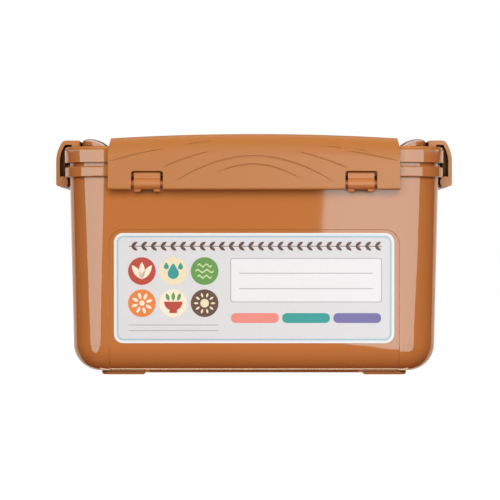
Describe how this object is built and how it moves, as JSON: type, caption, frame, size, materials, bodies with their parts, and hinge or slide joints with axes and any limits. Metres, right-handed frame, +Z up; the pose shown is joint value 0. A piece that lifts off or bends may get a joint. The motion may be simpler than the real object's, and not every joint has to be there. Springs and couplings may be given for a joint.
{
  "type": "fermentation container",
  "caption": "Rounded brown plastic fermentation tub with a hinged-clasp lid, folding lid handles, a front label and a sliding press lid with finger loops and a vent plug inside.",
  "frame": {"origin": "middle of the footprint, on the plane that the feet stand on", "axes": "+X to the right as the front is seen, +Y to the back, +Z up; the label and the front clasp face -Y"},
  "size_m": [0.245, 0.187, 0.1462],
  "materials": {
    "tub": "glossy polypropylene",
    "label": "printed film",
    "lid": "glossy polypropylene",
    "clasp": "satin polypropylene with shallow grain lines",
    "handle": "glossy polypropylene",
    "press": "glossy polypropylene",
    "loop": "pale polypropylene",
    "rubber": "pale silicone"
  },
  "bodies": {
    "tub": {"tub": "tub", "label": "label"},
    "lid": {"lid": "lid", "lid_gasket": "rubber"},
    "front_clasp": {"front_clasp": "clasp"},
    "rear_clasp": {"rear_clasp": "clasp"},
    "left_clasp": {"left_clasp": "clasp"},
    "right_clasp": {"right_clasp": "clasp"},
    "left_handle": {"left_handle": "handle"},
    "right_handle": {"right_handle": "handle"},
    "press_lid": {"press_lid": "press", "press_gasket": "rubber"},
    "left_loop": {"left_loop": "loop"},
    "right_loop": {"right_loop": "loop"},
    "vent_plug": {"vent_plug": "rubber"}
  },
  "joints": [
    {"name": "lid_lift", "type": "slide", "parent": "tub", "child": "lid", "axis": [0, 0, 1], "range_m": [0, 0.02]},
    {"name": "front_clasp_hinge", "type": "hinge", "parent": "tub", "child": "front_clasp", "pos_m": [0, -0.0894, 0.1164], "axis": [1, 0, 0], "range_deg": [0, 170]},
    {"name": "rear_clasp_hinge", "type": "hinge", "parent": "tub", "child": "rear_clasp", "pos_m": [0, 0.0894, 0.1164], "axis": [-1, 0, 0], "range_deg": [0, 170]},
    {"name": "left_clasp_hinge", "type": "hinge", "parent": "tub", "child": "left_clasp", "pos_m": [-0.1184, 0, 0.1182], "axis": [0, -1, 0], "range_deg": [0, 170]},
    {"name": "right_clasp_hinge", "type": "hinge", "parent": "tub", "child": "right_clasp", "pos_m": [0.1184, 0, 0.1182], "axis": [0, 1, 0], "range_deg": [0, 170]},
    {"name": "left_handle_hinge", "type": "hinge", "parent": "lid", "child": "left_handle", "pos_m": [-0.0615, 0, 0.1365], "axis": [0, 1, 0], "range_deg": [0, 95]},
    {"name": "right_handle_hinge", "type": "hinge", "parent": "lid", "child": "right_handle", "pos_m": [0.0615, 0, 0.1365], "axis": [0, -1, 0], "range_deg": [0, 95]},
    {"name": "press_lid_slide", "type": "slide", "parent": "tub", "child": "press_lid", "axis": [0, 0, 1], "range_m": [-0.072, 0]},
    {"name": "left_loop_hinge", "type": "hinge", "parent": "press_lid", "child": "left_loop", "pos_m": [-0.0045, 0, 0.098], "axis": [0, 1, 0], "range_deg": [0, 90]},
    {"name": "right_loop_hinge", "type": "hinge", "parent": "press_lid", "child": "right_loop", "pos_m": [0.0045, 0, 0.098], "axis": [0, -1, 0], "range_deg": [0, 90]},
    {"name": "vent_plug_slide", "type": "slide", "parent": "press_lid", "child": "vent_plug", "axis": [0, 0, 1], "range_m": [0, 0.008]}
  ],
  "couplings": [
    {"joint": "front_clasp_hinge", "follows": "lid_lift", "rad_per_m": 148.3},
    {"joint": "rear_clasp_hinge", "follows": "lid_lift", "rad_per_m": 148.3},
    {"joint": "left_clasp_hinge", "follows": "lid_lift", "rad_per_m": 148.3},
    {"joint": "right_clasp_hinge", "follows": "lid_lift", "rad_per_m": 148.3}
  ]
}
